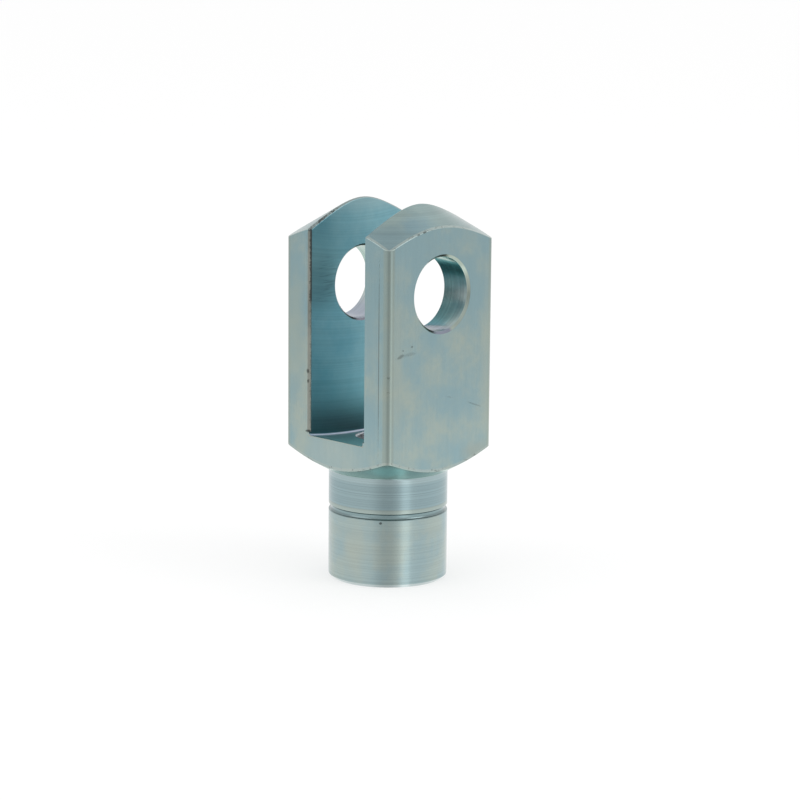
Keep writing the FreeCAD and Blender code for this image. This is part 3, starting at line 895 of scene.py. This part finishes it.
CHATTER = (0.5, 0.66)
edge_bite = bitten(0.9, *EDGE_BITES)
burr_edge = sheen("MULTIPLY_ADD", jag, RAGGED, across_y)
at_mouth = sheen("GREATER_THAN", across_x, BURR_START)
burr = within(at_mouth, band(burr_edge, *BURR_BAND), fade(height, *BURR_HEIGHT))
low_part = sheen("GREATER_THAN", height, LOW_BURR_START)
low_burr = within(at_mouth, band(burr_edge, *LOW_BURR_BAND), low_part)
arch_bites = bitten(0.8, *ARCH_BITES, stretch=(1.6, 1, 1))
arch_bite = within(arch_chamfer, arch_bites, fade(along_slot, *ARCH_BITE_PLACE))
chatter_marks = fade(mottle(size=0.36, stretch=(0.06, 1, 1), detail=2.0), *CHATTER)
chatter = within(is_slot, chatter_marks, soft_spot((-11.0, 8.25, 65.5), (5.5, 1.5, 6.5)))
EDGE_WEAR = (
    (within(foot_run_out, edge_bite), 0.4),
    (within(top_run_out, edge_bite), 0.3),
    (burr, 0.85),
    (low_burr, 0.45),
    (arch_bite, 0.8),
    (chatter, 0.3),
)
spot_wear = [(worn_spot(middle, reach, lean), depth) for middle, reach, lean, depth in WORN_SPOTS]
wear = 0.0
for mark, depth in (*EDGE_WEAR, *spot_wear):
    wear = sheen("MAXIMUM", wear, sheen("MULTIPLY", mark, depth))
WORN_DARK = (0.05, 0.055, 0.055, 1)
coat_colour = mixed(coat, wear, coat_colour, WORN_DARK)

# Shade of the tool marks, and painted shade that dulls and darkens the slot's walls towards its floor. The
# depths of the marks are those of the drawn flats, then of the neck, its upper part, the cone, the slot and
# the bore.
MARK_DEPTHS = (0.014, 0.04, 0.09, 0.06, 0.05, 0.14)
MARK_SWING = (0.25, 0.75, -1.0, 1.0)
BROAD_SHARE = 0.6
GRAIN_SHADE = (0.3, 0.7, -0.02, 0.02)
LOW_WALL_PAINTED_SHADE = (31.5, 41.0, 0.38, 1.0)
HIGH_WALL_TONE = (52.0, 76.0, 1.0, 0.88)
fine_marks = one_of((has_marks,), streaks, tool_marks)
broad_marks = one_of((has_marks,), wide_streaks, wide_marks)
mark_depth = one_of((is_neck, upper_neck, is_cone, is_slot, is_bore), *MARK_DEPTHS)
fine_shade = sheen("MULTIPLY", fade(fine_marks, *MARK_SWING), mark_depth)
broad_shade = sheen("MULTIPLY", fade(broad_marks, *MARK_SWING), sheen("MULTIPLY", mark_depth, BROAD_SHARE))
speckle = sheen("ADD", 1.0, fade(grain, *GRAIN_SHADE))
marks_shade = sheen("ADD", sheen("ADD", fine_shade, broad_shade), speckle)
wall_painted_shade = sheen("MULTIPLY", fade(height, *LOW_WALL_PAINTED_SHADE), fade(height, *HIGH_WALL_TONE))
wall_painted_shade = one_of((sheen("MAXIMUM", is_floor, slot_root_highlight),), wall_painted_shade, 1.0)
flat_tone = sheen("MULTIPLY", top_tone, foot_tone)
part_tone = one_of((is_slot, is_drawn), 1.0, wall_painted_shade, flat_tone)
shade = sheen("MULTIPLY", marks_shade, part_tone)
shade_colour = add_node(coat, "ShaderNodeCombineColor", {0: shade, 1: shade, 2: shade}).outputs[0]
toning = {0: 1.0, 6: coat_colour, 7: shade_colour}
toned = add_node(coat, "ShaderNodeMix", toning, data_type="RGBA", blend_type="MULTIPLY").outputs[2]

# Gloss of the flats and cones, then of the neck, slot, bore, filed edges and thread, and a fine relief.
PART_GLOSS = (0.23, 0.16, 0.42, 0.17, 0.4, 0.35)
GRAIN_GLOSS = (0.3, 0.7, -0.03, 0.03)
WORN_GLOSS = 0.3
STREAK_RELIEF = 0.25
RING_RELIEF = 0.6
GRAIN_RELIEF = 0.25
WORN_RELIEF = 1.5
RELIEF_STRENGTH = 0.35
RELIEF_DEPTH = 0.012 * MM
part_gloss = one_of((is_neck, is_slot, is_bore, is_filed, is_thread), *PART_GLOSS)
plain_gloss = sheen("ADD", part_gloss, fade(grain, *GRAIN_GLOSS))
gloss = sheen("ADD", plain_gloss, sheen("MULTIPLY", wear, WORN_GLOSS))
marks_relief = sheen("MULTIPLY", fine_marks, one_of((has_marks,), STREAK_RELIEF, RING_RELIEF))
relief = sheen("ADD", marks_relief, sheen("MULTIPLY", grain, GRAIN_RELIEF))
relief = sheen("SUBTRACT", relief, sheen("MULTIPLY", wear, WORN_RELIEF))
relief_sizes = {"Strength": RELIEF_STRENGTH, "Distance": RELIEF_DEPTH, "Height": relief}
bump = add_node(coat, "ShaderNodeBump", relief_sizes).outputs[0]
metal = {"Base Color": toned, "Metallic": 1.0, "Roughness": gloss, "Normal": bump}
shader = add_node(coat, "ShaderNodeBsdfPrincipled", metal)
add_node(coat, "ShaderNodeOutputMaterial", {"Surface": shader.outputs[0]})

clevis = bpy.data.objects.new("fork_head", bpy.data.meshes.new("fork_head"))
bpy.context.scene.collection.objects.link(clevis)
machining_step = clevis.modifiers.new("machining", "NODES")
machining_step.node_group = machining
settings = {**SIZES, "Plating": zinc}
for entry in machining.interface.items_tree:
    if entry.in_out == "INPUT" and entry.name in settings:
        machining_step[entry.identifier] = settings[entry.name]
EDGE_SEGMENTS = 3
edge_step = clevis.modifiers.new("edge_break", "BEVEL")
edge_step.width = ROOT_ROUND
edge_step.segments = EDGE_SEGMENTS
edge_step.limit_method = "WEIGHT"
edge_step.edge_weight = "fine_edge"
edge_step.use_clamp_overlap = False
edge_step.loop_slide = False
ready = clevis.evaluated_get(bpy.context.evaluated_depsgraph_get())
finished_mesh = bpy.data.meshes.new_from_object(ready)
clevis.modifiers.clear()
clevis.data = finished_mesh
finished_mesh.shade_smooth()
finished_mesh.set_sharp_from_angle(angle=SHARP_TURN)
FULL_LEVELLING = 100
level_step = clevis.modifiers.new("level_shading", "WEIGHTED_NORMAL")
level_step.mode = "FACE_AREA"
level_step.weight = FULL_LEVELLING
level_step.keep_sharp = True
ready = clevis.evaluated_get(bpy.context.evaluated_depsgraph_get())
levelled_mesh = bpy.data.meshes.new_from_object(ready)
clevis.modifiers.clear()
clevis.data = levelled_mesh
levelled_mesh.name = "fork_head_plain"
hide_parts("clevis")
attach(clevis, "root")
